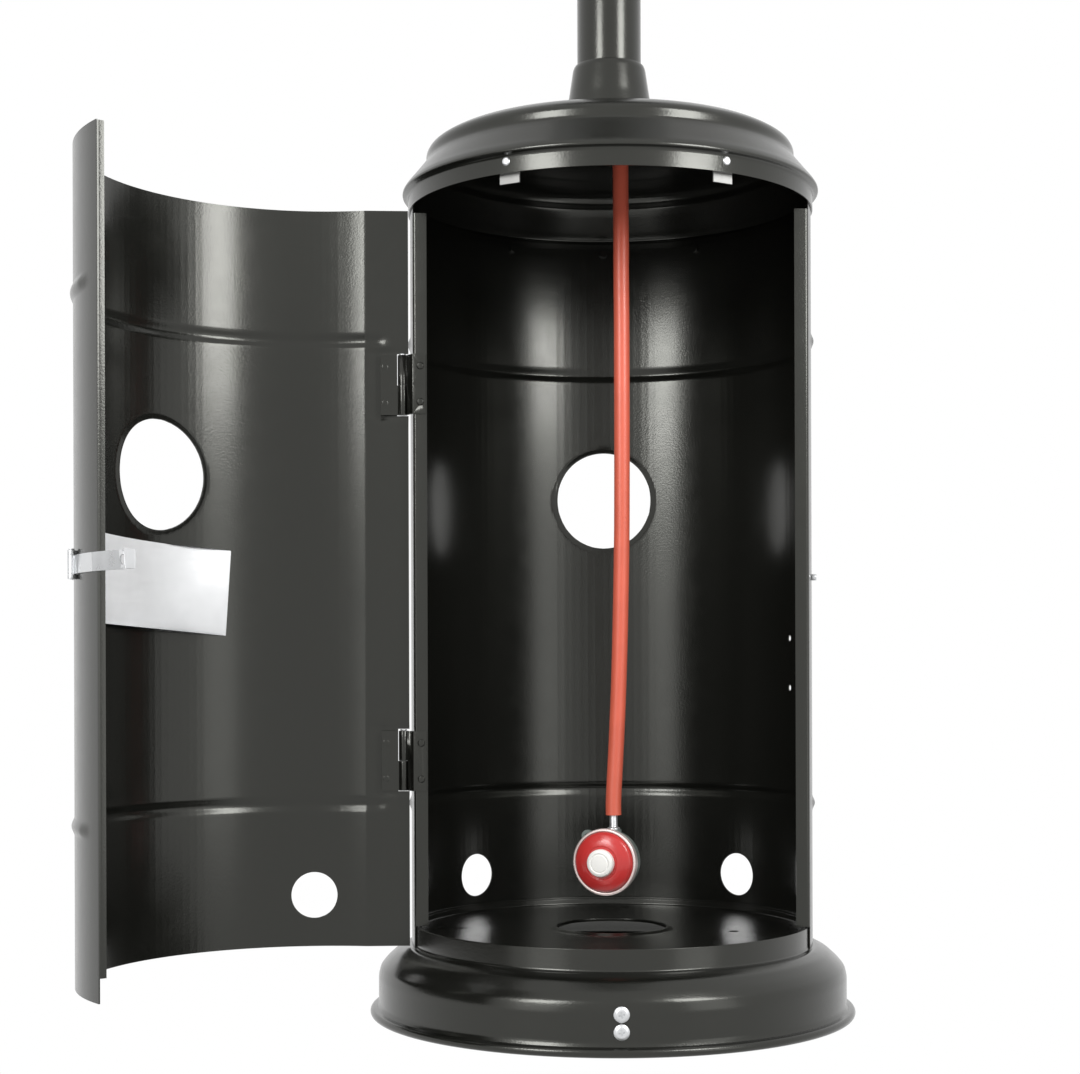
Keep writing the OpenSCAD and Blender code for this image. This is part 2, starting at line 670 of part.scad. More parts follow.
module turned_part(points) {
    rotate([-90, 0, 0]) rotate_extrude() polygon(points);
}

spigot_r = 7;
spigot_lip_r = inlet_r - 1.1;
nut_low = 26.4;
nut_l = 15.6;
nut_bore_low = 30.1;

module regulator_nipple() {
    color(steel) at_regulator() translate([nipple_at[0], nipple_at[1], 30]) difference() {
        union() {
            cylinder(r = 4, h = nipple_top - 30, $fn = 40);
            cylinder(r = 6.5, h = 4, $fn = 6);
        }
        translate([0, 0, -1]) cylinder(r = 2.5, h = nipple_top, $fn = 32);
    }
}

module regulator_body() {
    case_r = reg_r - 3;
    color("#3a4642") at_regulator() union() {
        turned_part([[0, -3], [case_r, -3], [case_r + 0.6, 3], [case_r, 15], [case_r - 4, 22],
            [14, 26], [spigot_r, 26], [spigot_r, 28.2], [spigot_lip_r, 28.2],
            [spigot_lip_r, 29.8], [3, 29.8], [3, 24], [0, 24]]);
        translate([nipple_at[0], nipple_at[1], 20]) cylinder(r = 7.5, h = 10);
        difference() {
            union() {
                translate([-22.5, 7, 23.5]) rotate([-90, 0, 0]) cylinder(r = 5.5, h = 5, $fn = 40);
                translate([-22, 7, 12]) cube([10, 5, 12]);
            }
            translate([-22.5, 6, 23.5]) rotate([-90, 0, 0]) cylinder(r = 2.2, h = 8, $fn = 32);
        }
    }
}

module regulator_rim() {
    color("lightgray") at_regulator() turned_part([[reg_r - 2.9, -7], [reg_r - 0.8, -7],
        [reg_r, -5.8], [reg_r, -0.6], [reg_r - 0.8, 1], [reg_r - 2.3, 1], [reg_r - 2.9, -3.2]]);
}

module regulator_cover() {
    color("crimson") at_regulator() turned_part([[0, -3], [reg_r - 3, -3], [reg_r - 3, -7.5],
        [reg_r - 5, -10.5], [reg_r - 11, -13.3], [14, -14.5], [0, -14.5]]);
}

module regulator_cap() {
    color("ivory") at_regulator() turned_part([[0, -14.5], [13.2, -14.5], [13.2, -18],
        [12.4, -19.6], [10.5, -20.3], [0, -20.3]]);
}

module regulator_nut() {
    nut_r = inlet_r + 5.5;
    color("#303030") at_regulator() rotate([-90, 0, 0]) difference() {
        union() {
            translate([0, 0, nut_low]) cylinder(r = nut_r, h = nut_l);
            for (i = [0 : 9]) rotate([0, 0, 36 * i]) translate([nut_r - 0.6, 0, nut_low + 1])
                cylinder(r = 2.4, h = nut_l - 2, $fn = 32);
        }
        translate([0, 0, nut_low - 1]) cylinder(r = spigot_r + gap, h = nut_l);
        translate([0, 0, 28]) cylinder(r = spigot_lip_r + gap, h = nut_l);
        translate([0, 0, nut_bore_low]) cylinder(r = inlet_r, h = nut_l);
    }
}

// Burner head: cup on the post, control housing, valve, burner, screen and reflector
can_low = post_top + head_taper_h - 10;
head_top = can_low + head_h;
can_t = 1.2;
knob_z = can_low + head_h * 0.5;
valve_h = 40;
spindle_r = 4;
knob_r = 24;
knob_travel = 4;
igniter_a = 318;
button_r = 6;
button_travel = 6;
head_screw_as = [45, 135, 225, 315];
lid_t = 1.5;
tube_r = 22;
screen_top = head_top + lid_t + screen_h;
cap_t = 1.2;
stud_r = 3;
stud_pcr = 65;
stud_as = [90, 210, 330];
reflector_top = screen_top + reflector_gap;
reflector_t = 1;

module head_cup() {
    color(ink) difference() {
        union() {
            rotate_extrude() polygon([[post_r + 0.1, post_top - 34], [post_r + 3, post_top - 34],
                [post_r + 3, post_top - 10], [head_r - can_t - 0.1, can_low],
                [head_r - can_t - 0.1, can_low + 12], [head_r - can_t - 1.6, can_low + 12],
                [head_r - can_t - 1.6, can_low + 1], [post_r + 3, post_top - 7.5],
                [post_r + 3, post_top], [post_r + 0.1, post_top]]);
            translate([0, 0, post_top]) cylinder(r = post_r + 12, h = 2);
        }
        translate([hose_top[0], hose_top[1], post_top - 1]) cylinder(r = pipe_r + 0.5, h = 6);
        for (a = head_screw_as) outward(a, head_r, can_low + 6)
            cylinder(r = 2.1, h = 12, center = true, $fn = 32);
    }
}

module head_can() {
    color(ink) difference() {
        translate([0, 0, can_low]) cylinder(r = head_r, h = head_h, $fn = 144);
        translate([0, 0, can_low - 1]) cylinder(r = head_r - can_t, h = head_h + 2, $fn = 144);
        outward(270, head_r, knob_z) cylinder(r = spindle_r + 2, h = 20, center = true);
        outward(igniter_a, head_r, knob_z) cylinder(r = button_r + 3, h = 20, center = true);
        for (a = [40 : 20 : 140]) outward(a, head_r, can_low + head_h * 0.6)
            cylinder(r = 7, h = 12, center = true, $fn = 40);
        for (a = head_screw_as) outward(a, head_r, can_low + 6)
            cylinder(r = 2.1, h = 12, center = true, $fn = 32);
    }
}

module head_lid() {
    color(steel) difference() {
        translate([0, 0, head_top]) cylinder(r = head_r + 1, h = lid_t, $fn = 144);
        translate([0, 0, head_top - 1]) cylinder(r = tube_r + 0.05, h = 4);
        translate([pilot_x, 0, head_top - 1]) cylinder(r = 3.05, h = 4, $fn = 32);
    }
}

module head_screws() {
    color(steel) for (a = head_screw_as) outward(a, head_r, can_low + 6) fastener(4, 2, 2, 5);
}

module gas_valve() {
    color("silver") difference() {
        translate([-20, -72, knob_z - valve_h / 2]) cube([40, 80, valve_h]);
        translate([0, -58, knob_z]) rotate([90, 0, 0]) cylinder(r = spindle_r + 0.06, h = 20);
        translate([0, -8, knob_z + valve_h / 2 - 6]) cylinder(r = 4.05, h = 8, $fn = 32);
    }
}

module valve_spindle() {
    color(steel) translate([0, -58 - knob_travel - 1, knob_z]) rotate([90, 0, 0])
        cylinder(r = spindle_r, h = head_r + 22 - 58 - knob_travel - 1);
}

module control_knob() {
    back = head_r + 3 + knob_travel + 1;
    color("#202020") translate([0, 0, knob_z]) rotate([90, 0, 0]) difference() {
        union() {
            translate([0, 0, back]) cylinder(r1 = knob_r, r2 = knob_r - 2, h = 8);
            translate([0, 0, back + 8]) cylinder(r1 = knob_r - 4, r2 = knob_r - 6, h = 12);
            translate([-3.5, -knob_r + 3, back + 7]) cube([7, 2 * knob_r - 6, 15]);
        }
        translate([0, 0, back - 1]) cylinder(r = spindle_r + 0.06, h = head_r + 23 - back);
    }
}

module knob_bezel() {
    color("gray") difference() {
        translate([0, 0, knob_z]) rotate([90, 0, 0]) cylinder(r = knob_r + 6, h = head_r + 3);
        translate([0, 0, knob_z - 50]) cylinder(r = head_r, h = 100, $fn = 144);
        outward(270, head_r, knob_z) cylinder(r = spindle_r + 2, h = 30, center = true);
    }
}

module igniter_box() {
    color("#202020") difference() {
        union() {
            outward(igniter_a, head_r - 46, knob_z) cylinder(r = button_r + 2.9, h = 49);
            outward(igniter_a, head_r + 0.4, knob_z) cylinder(r = button_r + 6, h = 2.6);
        }
        outward(igniter_a, head_r - 20, knob_z) cylinder(r = button_r + gap, h = 40);
    }
}

module igniter_button() {
    color("firebrick") outward(igniter_a, head_r - 20 + button_travel + 1, knob_z)
        cylinder(r = button_r, h = 20 + button_travel - 4);
}

module tilt_switch() {
    color("#404040") translate([-34, 12, post_top + 2]) cube([22, 18, 26]);
}

module valve_pipe() {
    low = knob_z + valve_h / 2 - 6;
    color("goldenrod") translate([0, -8, low]) difference() {
        union() {
            cylinder(r = 4, h = head_top - 26 - low, $fn = 32);
            translate([0, 0, head_top - 26 - low]) cylinder(r = 6, h = 8, $fn = 6);
        }
        translate([0, 0, -1]) cylinder(r = 1.5, h = head_top, $fn = 32);
    }
}

module burner_tube() {
    color(steel) difference() {
        translate([0, 0, head_top - 14]) cylinder(r = tube_r, h = burner_z - head_top + 14);
        translate([0, 0, head_top - 15]) cylinder(r = tube_r - 1.5, h = burner_z - head_top + 20);
    }
}
burner_z = head_top + 60;
burner_r = screen_r - 12;
pilot_x = 45;

module burner_plate() {
    color("gray") difference() {
        rotate_extrude() polygon([[0, burner_z], [burner_r, burner_z], [burner_r, burner_z + 10],
            [burner_r - 6, burner_z + 14], [0, burner_z + 18]]);
        translate([0, 0, burner_z - 1]) cylinder(r = tube_r - 1.5, h = 8);
        translate([pilot_x, 0, burner_z - 1]) cylinder(r = 8, h = 40);
    }
}

module pilot_burner() {
    color("goldenrod") {
        translate([pilot_x, 0, head_top - 20]) cylinder(r = 3, h = burner_z + 30 - head_top, $fn = 32);
        translate([pilot_x, 0, burner_z + 10]) cylinder(r = 5.5, h = 14, $fn = 32);
    }
}

module screen_cylinder() {
    color(steel) difference() {
        translate([0, 0, head_top + lid_t]) cylinder(r = screen_r, h = screen_h, $fn = 144);
        translate([0, 0, head_top]) cylinder(r = screen_r - 0.8, h = screen_h + 10, $fn = 144);
    }
}

module screen_cap() {
    color(steel) difference() {
        rotate_extrude() polygon([[0, screen_top], [screen_r, screen_top],
            [screen_r + 0.1, screen_top - 14], [screen_r + 1.3, screen_top - 14],
            [screen_r + 1.3, screen_top + cap_t],
            [40, screen_top + cap_t + 3], [0, screen_top + cap_t + 3]]);
        for (a = stud_as) rotate([0, 0, a]) translate([stud_pcr, 0, screen_top - 1])
            cylinder(r = stud_r + 0.05, h = 10, $fn = 32);
    }
}

module at_studs(z) {
    for (a = stud_as) rotate([0, 0, a]) translate([stud_pcr, 0, z]) children();
}

module reflector_studs() {
    color(steel) at_studs(screen_top - 4) {
        cylinder(r = stud_r, h = reflector_gap + 20, $fn = 32);
        translate([0, 0, 0.5]) cylinder(r = 5.5, h = 3.5, $fn = 6);
    }
}

module reflector_spacers() {
    spacer_low = screen_top + cap_t + 3.05;
    color(steel) at_studs(spacer_low) difference() {
        cylinder(r = 6.5, h = reflector_top - reflector_t - spacer_low, $fn = 40);
        translate([0, 0, -1]) cylinder(r = stud_r + 0.05, h = 200, $fn = 40);
    }
}

module reflector() {
    outer = [[reflector_r, reflector_top - reflector_h],
        [reflector_r - 1, reflector_top - reflector_h + 7],
        [reflector_r - 14, reflector_top - reflector_h + 12],
        [reflector_r * 0.62, reflector_top - reflector_h * 0.4],
        [110, reflector_top - 6], [96, reflector_top], [0, reflector_top]];
    color("silver") difference() {
        rotate_extrude($fn = 180) polygon(spun(outer, reflector_t));
        at_studs(reflector_top - 6) cylinder(r = stud_r + 0.1, h = 12, $fn = 32);
    }
}

module wing_nuts() {
    color(steel) at_studs(reflector_top + 0.02) difference() {
        union() {
            cylinder(r = 8, h = 1.5, $fn = 40);
            cylinder(r1 = 6.5, r2 = 5, h = 8, $fn = 40);
            for (s = [-1, 1]) translate([s * 9, 0, 8]) rotate([90, 0, 0])
                cylinder(r = 6, h = 2, center = true, $fn = 32);
        }
        translate([0, 0, -1]) cylinder(r = stud_r + 0.02, h = 40, $fn = 32);
    }
}

base_cover();
ballast_ring();
floor_pan();
ballast_bracket();
skirt_screws();
rear_shell();
shell_screws();
dome();
dome_screws();
lip_tabs();
tab_rivets();
hinge_fixed_leaves();
hinge_fixed_rivets();
keeper_stud();
door_shell();
hinge_door_leaves();
hinge_door_rivets();
hinge_pins();
door_plate();
latch_bracket();
latch_pin();
latch_strap();
post_foot();
post_foot_bolts();
post_cover();
post_tube();
hose_grommet();
gas_pipe();
gas_hose();
hose_ferrule();
regulator_nipple();
regulator_body();
regulator_rim();
regulator_cover();
regulator_cap();
regulator_nut();
head_cup();
head_can();
head_lid();
head_screws();
gas_valve();
valve_spindle();
control_knob();
knob_bezel();
igniter_box();
igniter_button();
tilt_switch();
valve_pipe();
burner_tube();
burner_plate();
pilot_burner();
screen_cylinder();
screen_cap();
reflector_studs();
reflector_spacers();
reflector();
wing_nuts();
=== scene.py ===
import json
import math
import bmesh
import bpy
from mathutils import Matrix, Vector


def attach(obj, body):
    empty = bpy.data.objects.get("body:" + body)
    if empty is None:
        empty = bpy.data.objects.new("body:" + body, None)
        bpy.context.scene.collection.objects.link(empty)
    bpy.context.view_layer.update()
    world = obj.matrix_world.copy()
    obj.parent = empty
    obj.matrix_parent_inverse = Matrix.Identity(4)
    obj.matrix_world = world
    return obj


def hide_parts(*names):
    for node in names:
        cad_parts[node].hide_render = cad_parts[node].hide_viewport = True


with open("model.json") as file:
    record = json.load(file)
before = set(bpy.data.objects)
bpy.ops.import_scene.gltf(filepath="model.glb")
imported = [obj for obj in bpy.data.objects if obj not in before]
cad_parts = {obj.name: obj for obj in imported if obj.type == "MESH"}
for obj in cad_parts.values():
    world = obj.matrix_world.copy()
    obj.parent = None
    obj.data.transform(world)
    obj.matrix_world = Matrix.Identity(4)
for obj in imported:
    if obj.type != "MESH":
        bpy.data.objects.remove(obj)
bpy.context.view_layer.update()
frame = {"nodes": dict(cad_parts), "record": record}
nodes = frame["nodes"]
scene = bpy.context.scene
MM = 0.001

# Camera: level but for a slight roll, with the photograph's horizon brought to its row by the shift
PHOTO_W, PHOTO_H = 1080, 1074
HORIZON_ROW = 665
ROLL = 0.003
camera_data = bpy.data.cameras.new("camera")
camera_data.lens = 64.0
camera_data.sensor_width = 36.0
camera_data.shift_y = (HORIZON_ROW - PHOTO_H / 2) / PHOTO_W
camera_data.clip_end = 60
camera = bpy.data.objects.new("camera", camera_data)
scene.collection.objects.link(camera)
camera.location = (-0.0678, -1.837, 0.3303)
camera.rotation_euler = (math.pi / 2, ROLL, 0)
scene.camera = camera


# Materials
class Nodes:
    """A material's node tree, with short calls for the few nodes used here."""

    def __init__(self, name):
        self.mat = bpy.data.materials.new(name)
        self.mat.use_nodes = True
        self.tree = self.mat.node_tree
        self.bsdf = next(n for n in self.tree.nodes if n.type == "BSDF_PRINCIPLED")
        self.coords = self.tree.nodes.new("ShaderNodeTexCoord").outputs["Object"]

    def link(self, a, b):
        self.tree.links.new(a, b)

    def noise(self, scale, detail=2.0, stretch=None):
        source = self.coords
        if stretch:
            mapping = self.tree.nodes.new("ShaderNodeMapping")
            mapping.inputs["Scale"].default_value = stretch
            self.link(source, mapping.inputs["Vector"])
            source = mapping.outputs["Vector"]
        n = self.tree.nodes.new("ShaderNodeTexNoise")
        n.inputs["Scale"].default_value = scale
        n.inputs["Detail"].default_value = detail
        self.link(source, n.inputs["Vector"])
        return n.outputs["Fac"]

    def ramp(self, source, stops):
        r = self.tree.nodes.new("ShaderNodeValToRGB")
        for e, (position, color) in zip(r.color_ramp.elements, stops):
            e.position = position
            e.color = (*color, 1)
        self.link(source, r.inputs["Fac"])
        return r.outputs["Color"]

    def span(self, source, low, high):
        m = self.tree.nodes.new("ShaderNodeMapRange")
        m.inputs["From Min"].default_value = 0.3
        m.inputs["From Max"].default_value = 0.7
        m.inputs["To Min"].default_value = low
        m.inputs["To Max"].default_value = high
        self.link(source, m.inputs["Value"])
        return m.outputs["Result"]

    def bump(self, source, distance):
        b = self.tree.nodes.new("ShaderNodeBump")
        b.inputs["Distance"].default_value = distance
        self.link(source, b.inputs["Height"])
        return b.outputs["Normal"]

    def set(self, **values):
        names = {"color": "Base Color", "rough": "Roughness", "metal": "Metallic",
                 "coat": "Coat Weight", "coat_rough": "Coat Roughness",
                 "tint": "Specular Tint", "normal": "Normal"}
        for key, value in values.items():
            socket = self.bsdf.inputs[names[key]]
            if isinstance(value, bpy.types.NodeSocket):
                self.link(value, socket)
            elif key in ("color", "tint"):
                socket.default_value = (*value, 1)
            else:
                socket.default_value = value
        return self.mat


def powder_coat(name):
    """Baked black powder paint: fine orange peel, faint cloudiness and a thin clear coat."""
    m = Nodes(name)
    tone = 0.006
    dark = (tone * 0.95, tone * 0.97, tone * 0.8)
    light = (tone * 1.15, tone * 1.17, tone * 0.98)
    orange_peel = 0.0001
    return m.set(color=m.ramp(m.noise(9, 3.0), [(0.3, dark), (0.7, light)]),
                 rough=m.span(m.noise(60, 1.0), 0.2, 0.23),
                 normal=m.bump(m.noise(600, 1.5), orange_peel),
                 tint=(0.98, 0.99, 0.91), coat=0.15, coat_rough=0.16)


def metal(name, color, rough, stretch=None, scale=90, grain=0.00003, metallic=1.0):
    """Bare or plated metal with a faint grain and smudges in its polish."""
    m = Nodes(name)
    fine = m.noise(scale, 4.0, stretch)
    smudge = m.noise(18, 3.0)
    low = tuple(c * 0.86 for c in color)
    return m.set(color=m.ramp(smudge, [(0.32, low), (0.66, color)]),
                 rough=m.span(fine, rough * 0.75, rough * 1.3), metal=metallic,
                 normal=m.bump(fine, grain))


def moulded(name, color, rough=0.45, grain=0.00006, scale=700, vary=0.12):
    """Moulded plastic or rubber: fine texture from the tool, slight unevenness of tone."""
    m = Nodes(name)
    cloud = m.noise(30, 3.0)
    low = tuple(c * (1 - vary) for c in color)
    return m.set(color=m.ramp(cloud, [(0.3, low), (0.7, color)]),
                 rough=m.span(m.noise(240, 2.0), rough * 0.85, rough * 1.15),
                 normal=m.bump(m.noise(scale, 2.0), grain))


coat = powder_coat("black_powder_coat")
zinc = metal("zinc_plated", (0.68, 0.69, 0.7), 0.34, metallic=0.8)
# zinc for the lip tabs: rougher, and darkened in colour as painted shade for the shade they sit in under
# the dome's lip
dull_zinc_painted_shade = metal("dull_zinc_plate_painted_shade", (0.3, 0.3, 0.29), 0.42, metallic=0.8)
stainless = metal("brushed_stainless", (0.66, 0.66, 0.65), 0.24, (1, 1, 40), 60)
reflector_mat = metal("spun_aluminium", (0.82, 0.83, 0.84), 0.22, (1, 1, 30), 80)
plate_mat = metal("silver_plate", (0.95, 0.96, 0.97), 0.42, (1, 1, 12), 30, 0.000004, 0.15)
bracket_mat = metal("galvanised", (0.5, 0.51, 0.52), 0.42)
brass = metal("brass", (0.78, 0.57, 0.25), 0.3)
copper = metal("copper", (0.8, 0.42, 0.27), 0.32)
die_cast = moulded("grey_green_die_cast", (0.15, 0.18, 0.165), 0.45, 0.00012, 500)
ballast_mat = moulded("concrete_ballast", (0.34, 0.33, 0.31), 0.9, 0.0006, 120, 0.25)
red_paint = moulded("red_enamel", (0.6, 0.04, 0.038), 0.22, 0.00002, 400)
ring_mat = metal("rolled_rim", (0.8, 0.68, 0.65), 0.34, metallic=0.55)
cream = moulded("cream_plastic", (0.97, 0.96, 0.92), 0.35, vary=0.03)
black_rubber = moulded("black_rubber", (0.018, 0.018, 0.018), 0.6)
black_plastic = moulded("black_plastic", (0.014, 0.014, 0.015), 0.38)
red_plastic = moulded("red_plastic", (0.55, 0.02, 0.015), 0.35)
hose_mat = moulded("orange_hose_rubber", (0.66, 0.125, 0.074), 0.36, 0.00005, 600, 0.1)

SLOT_MATERIALS = {"black_coat": coat, "zinc": zinc, "ballast": ballast_mat,
                  "bracket_steel": bracket_mat, "plate": plate_mat, "stainless": stainless,
                  "hose_rubber": hose_mat, "black_rubber": black_rubber,
                  "regulator_die": die_cast, "regulator_red": red_paint,
                  "regulator_ring": ring_mat, "cream_plastic": cream,
                  "black_plastic": black_plastic, "red_plastic": red_plastic,
                  "brass": brass, "copper": copper, "reflector_sheet": reflector_mat}

for part in frame["record"]["subparts"]:
    data = nodes[part["node"]].data
    data.materials.clear()
    data.materials.append(SLOT_MATERIALS[part["material_slot"]])


# Helpers
def piece(name, mesh, body, material, replaces=(), angle=35):
    """Makes an object from a mesh given in millimetres, and puts it on its body."""
    mesh.transform(Matrix.Scale(MM, 4))
    mesh.update()
    mesh.materials.append(material)
    mesh.shade_smooth()
    mesh.set_sharp_from_angle(angle=math.radians(angle))
    o = bpy.data.objects.new(name, mesh)
    scene.collection.objects.link(o)
    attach(o, body)
    if replaces:
        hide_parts(*replaces)
    return o


def finished(bm, name):
    """A mesh made from the working one, which is given up."""
    mesh = bpy.data.meshes.new(name)
    bm.to_mesh(mesh)
    bm.free()
    return mesh


def joined(meshes, name):
    bm = bmesh.new()
    for mesh in meshes:
        bm.from_mesh(mesh)
    return finished(bm, name)


def lathe(profile, steps=160, closed=False):
    """A mesh in millimetres turned from points of radius and height about the upright axis."""
    bm = bmesh.new()
    rings = []
    for k in range(steps):
        a = math.radians(360.0 * k / steps)
        rings.append([bm.verts.new((r * math.cos(a), r * math.sin(a), z)) for r, z in profile])
    n = len(profile)
    for a, b in zip(rings, rings[1:] + rings[:1]):
        for i in range(n if closed else n - 1):
            j = (i + 1) % n
            if profile[i][0] < 1e-6 and profile[j][0] < 1e-6:
                continue
            bm.faces.new((a[i], b[i], b[j], a[j]))
    bmesh.ops.remove_doubles(bm, verts=bm.verts, dist=1e-4)
    bmesh.ops.recalc_face_normals(bm, faces=bm.faces)
    return finished(bm, "lathe")


def rounded(points, radius=3.0, per=4, closed=False):
    """The same 2-D line with its corners rounded, each by at most the radius."""
    n = len(points)
    out = []
    for i, p in enumerate(points):
        if not closed and i in (0, n - 1):
            out.append(tuple(p))
            continue
        p = Vector(p)
        a = Vector(points[i - 1]) - p
        b = Vector(points[(i + 1) % n]) - p
        cut = min(radius, a.length * 0.45, b.length * 0.45)
        s, e = p + a.normalized() * cut, p + b.normalized() * cut
        for k in range(per + 1):
            t = k / per
            out.append(tuple(s * (1 - t) ** 2 + p * 2 * t * (1 - t) + e * t * t))
    return out


def along(path):
    """How far along the path each of its points is."""
    total, out = 0.0, [0.0]
    for a, b in zip(path, path[1:]):
        total += (Vector(b) - Vector(a)).length
        out.append(total)
    return out


LEAST_STEP = 0.35


def grid_sheet(path, heights, push, holes, thickness, keep=None, more=()):
    """A thin pressed sheet. path is its plan line in mm, from one upright edge to the other, with the
    sheet's second face to the right. push(s, z) moves a point that way. Holes are (s, z, radius)."""
    stations = along(path)
    normals = []
    for i in range(len(path)):
        a = Vector(path[max(i - 1, 0)])
        b = Vector(path[min(i + 1, len(path) - 1)])
        t = (b - a).normalized()
        normals.append(Vector((t.y, -t.x)))
    total = stations[-1]

    def place(s, z):
        s = min(max(s, 0.0), total)
        low, high = 0, len(stations) - 1
        while high - low > 1:
            mid = (low + high) // 2
            if stations[mid] <= s:
                low = mid
            else:
                high = mid
        t = (s - stations[low]) / max(stations[low + 1] - stations[low], 1e-9)
        p = Vector(path[low]).lerp(Vector(path[low + 1]), t)
        n = normals[low].lerp(normals[low + 1], t).normalized()
        p = p + n * push(s, z)
        return (p.x, p.y, z)

    columns = sorted(set(round(v, 4) for v in [*grid_lines(stations, total, holes, 0), *more]))
    rows = sorted(set(round(v, 4) for v in grid_lines(heights, heights[-1], holes, 1)))
    columns = thin_out(columns, LEAST_STEP, (0.0, total))
    rows = thin_out(rows, LEAST_STEP, (heights[0], heights[-1]))
    flat = [[(s, z) for z in rows] for s in columns]
    inside = [[None] * len(rows) for _ in columns]
    for i, s in enumerate(columns):
        for j, z in enumerate(rows):
            for h, (hs, hz, hr) in enumerate(holes):
                d = math.hypot(s - hs, z - hz)
                if d < hr:
                    inside[i][j] = h
                    if d > 1e-6:
                        flat[i][j] = (hs + (s - hs) * hr / d, hz + (z - hz) * hr / d)
    bm = bmesh.new()
    verts = {}

    def vert(i, j):
        if (i, j) not in verts:
            verts[i, j] = bm.verts.new(place(*flat[i][j]))
        return verts[i, j]

    for i in range(len(columns) - 1):
        for j in range(len(rows) - 1):
            corner = [(i, j), (i + 1, j), (i + 1, j + 1), (i, j + 1)]
            if all(inside[a][b] is not None for a, b in corner):
                continue
            if keep and not keep((columns[i] + columns[i + 1]) / 2, (rows[j] + rows[j + 1]) / 2):
                continue
            bm.faces.new([vert(a, b) for a, b in corner])
    bmesh.ops.remove_doubles(bm, verts=bm.verts, dist=1e-3)
    bmesh.ops.dissolve_degenerate(bm, edges=bm.edges, dist=1e-3)
    bmesh.ops.recalc_face_normals(bm, faces=bm.faces)
    bm.faces.ensure_lookup_table()
    side = Vector((*normals[len(normals) // 2], 0))
    centre = Vector((*path[len(path) // 2], heights[len(heights) // 2]))
    middle = min(bm.faces, key=lambda f: (f.calc_center_median() - centre).length)
    if middle.normal.dot(side) < 0:
        bmesh.ops.reverse_faces(bm, faces=bm.faces)
    bmesh.ops.solidify(bm, geom=bm.faces[:], thickness=-thickness)
    return finished(bm, "sheet")


def grid_lines(base, end, holes, axis):
    """The lines of a sheet's grid: the given ones, closer ones at a hole's edge."""
    lines = list(base)
    for hole in holes:
        c, r = hole[axis], hole[2]
        step = max(1.0, min(2.0, r / 9))
        k = int((r + 4) / step)
        lines += [c + step * i for i in range(-k, k + 1)]
    return [v for v in lines if base[0] <= v <= end]


def thin_out(lines, least, keep):
    """The lines without those closer than the least spacing, the two to keep always among them."""
    out = []
    for v in lines:
        if v in keep or not out or v - out[-1] >= least:
            if v == keep[1] and out and v - out[-1] < least and len(out) > 1:
                out[-1] = v
            else:
                out.append(v)
    return out


def steps_between(a, b, step):
    n = max(1, round(abs(b - a) / step))
    return [a + (b - a) * i / n for i in range(n + 1)]


# Housing and door
SHELL_R, SHELL_IN, SHEET = 190.5, 189.3, 1.2
ARC_LEAST_R = 189.0
BEADS = (635, 200)
BEAD_HALF, BEAD_DEPTH, BEAD_TAPER = 8.0, 2.4, 12
VENT_Z, VENT_R, VENT_DISH, VENT_RIM, VENT_SLOPE = 503, 50, 1.6, 4.6, 4
LOW_HOLE_Z, LOW_HOLE_R = 115, 21.5
SCREW_HOLE_ZS, SCREW_HOLE_R = (307, 356), 3
JAMB_LOW, SHELL_JAMB_TOP, DOOR_JAMB_TOP = 87, 752.5, 756
FLANGE = 12.5
HINGE = Vector((-196.0, -34.9946))
HINGE_ZS = (213, 565)
HINGE_H = 56
OPEN = Matrix.Translation((HINGE.x, HINGE.y, 0)) @ Matrix.Rotation(math.radians(-120), 4, "Z") \
    @ Matrix.Translation((-HINGE.x, -HINGE.y, 0))


def polar(r, a):
    return (r * math.cos(math.radians(a)), r * math.sin(math.radians(a)))


def station(path, a):
    """How far along the path the point at angle a is, from +X, where the path follows the arc."""
    sums = along(path)
    best = None
    for i, (x, y) in enumerate(path):
        if math.hypot(x, y) < ARC_LEAST_R:
            continue
        d = (math.degrees(math.atan2(y, x)) - a + 180) % 360 - 180
        if best is None or abs(d) < abs(best[0]):
            best = (d, i)
    d, i = best
    j = i + 1 if i + 1 < len(path) else i - 1
    e = (math.degrees(math.atan2(path[j][1], path[j][0])) - a + 180) % 360 - 180
    return sums[i] + (sums[j] - sums[i]) * (d / (d - e))


def soft_step(t):
    t = min(max(t, 0.0), 1.0)
    return t * t * (3 - 2 * t)


def pressings(path, beads, bead_ends, vents, sign):
    """The pressed forms of a sheet: beads with tapered ends, and dished rims round the large vents."""
    s0, s1 = bead_ends

    def push(s, z):
        out = 0.0
        for b in beads:
            t = abs(z - b) / BEAD_HALF
            if t < 1:
                ends = soft_step((s - s0) / BEAD_TAPER) * soft_step((s1 - s) / BEAD_TAPER)
                out += BEAD_DEPTH * 0.5 * (1 + math.cos(math.pi * t)) * ends
        for vs, vz, vr in vents:
            d = math.hypot(s - vs, z - vz)
            if d < vr + VENT_RIM:
                out -= VENT_DISH * soft_step((vr + VENT_RIM - d) / VENT_SLOPE)
        return out * sign
    return push


def row_heights(low, high, cuts=()):
    rows = {low, high, *cuts}
    rows.update(steps_between(low, high, 18))
    for b in BEADS:
        rows.update(steps_between(b - BEAD_HALF - 1, b + BEAD_HALF + 1, 1.5))
    return sorted(v for v in rows if low <= v <= high)


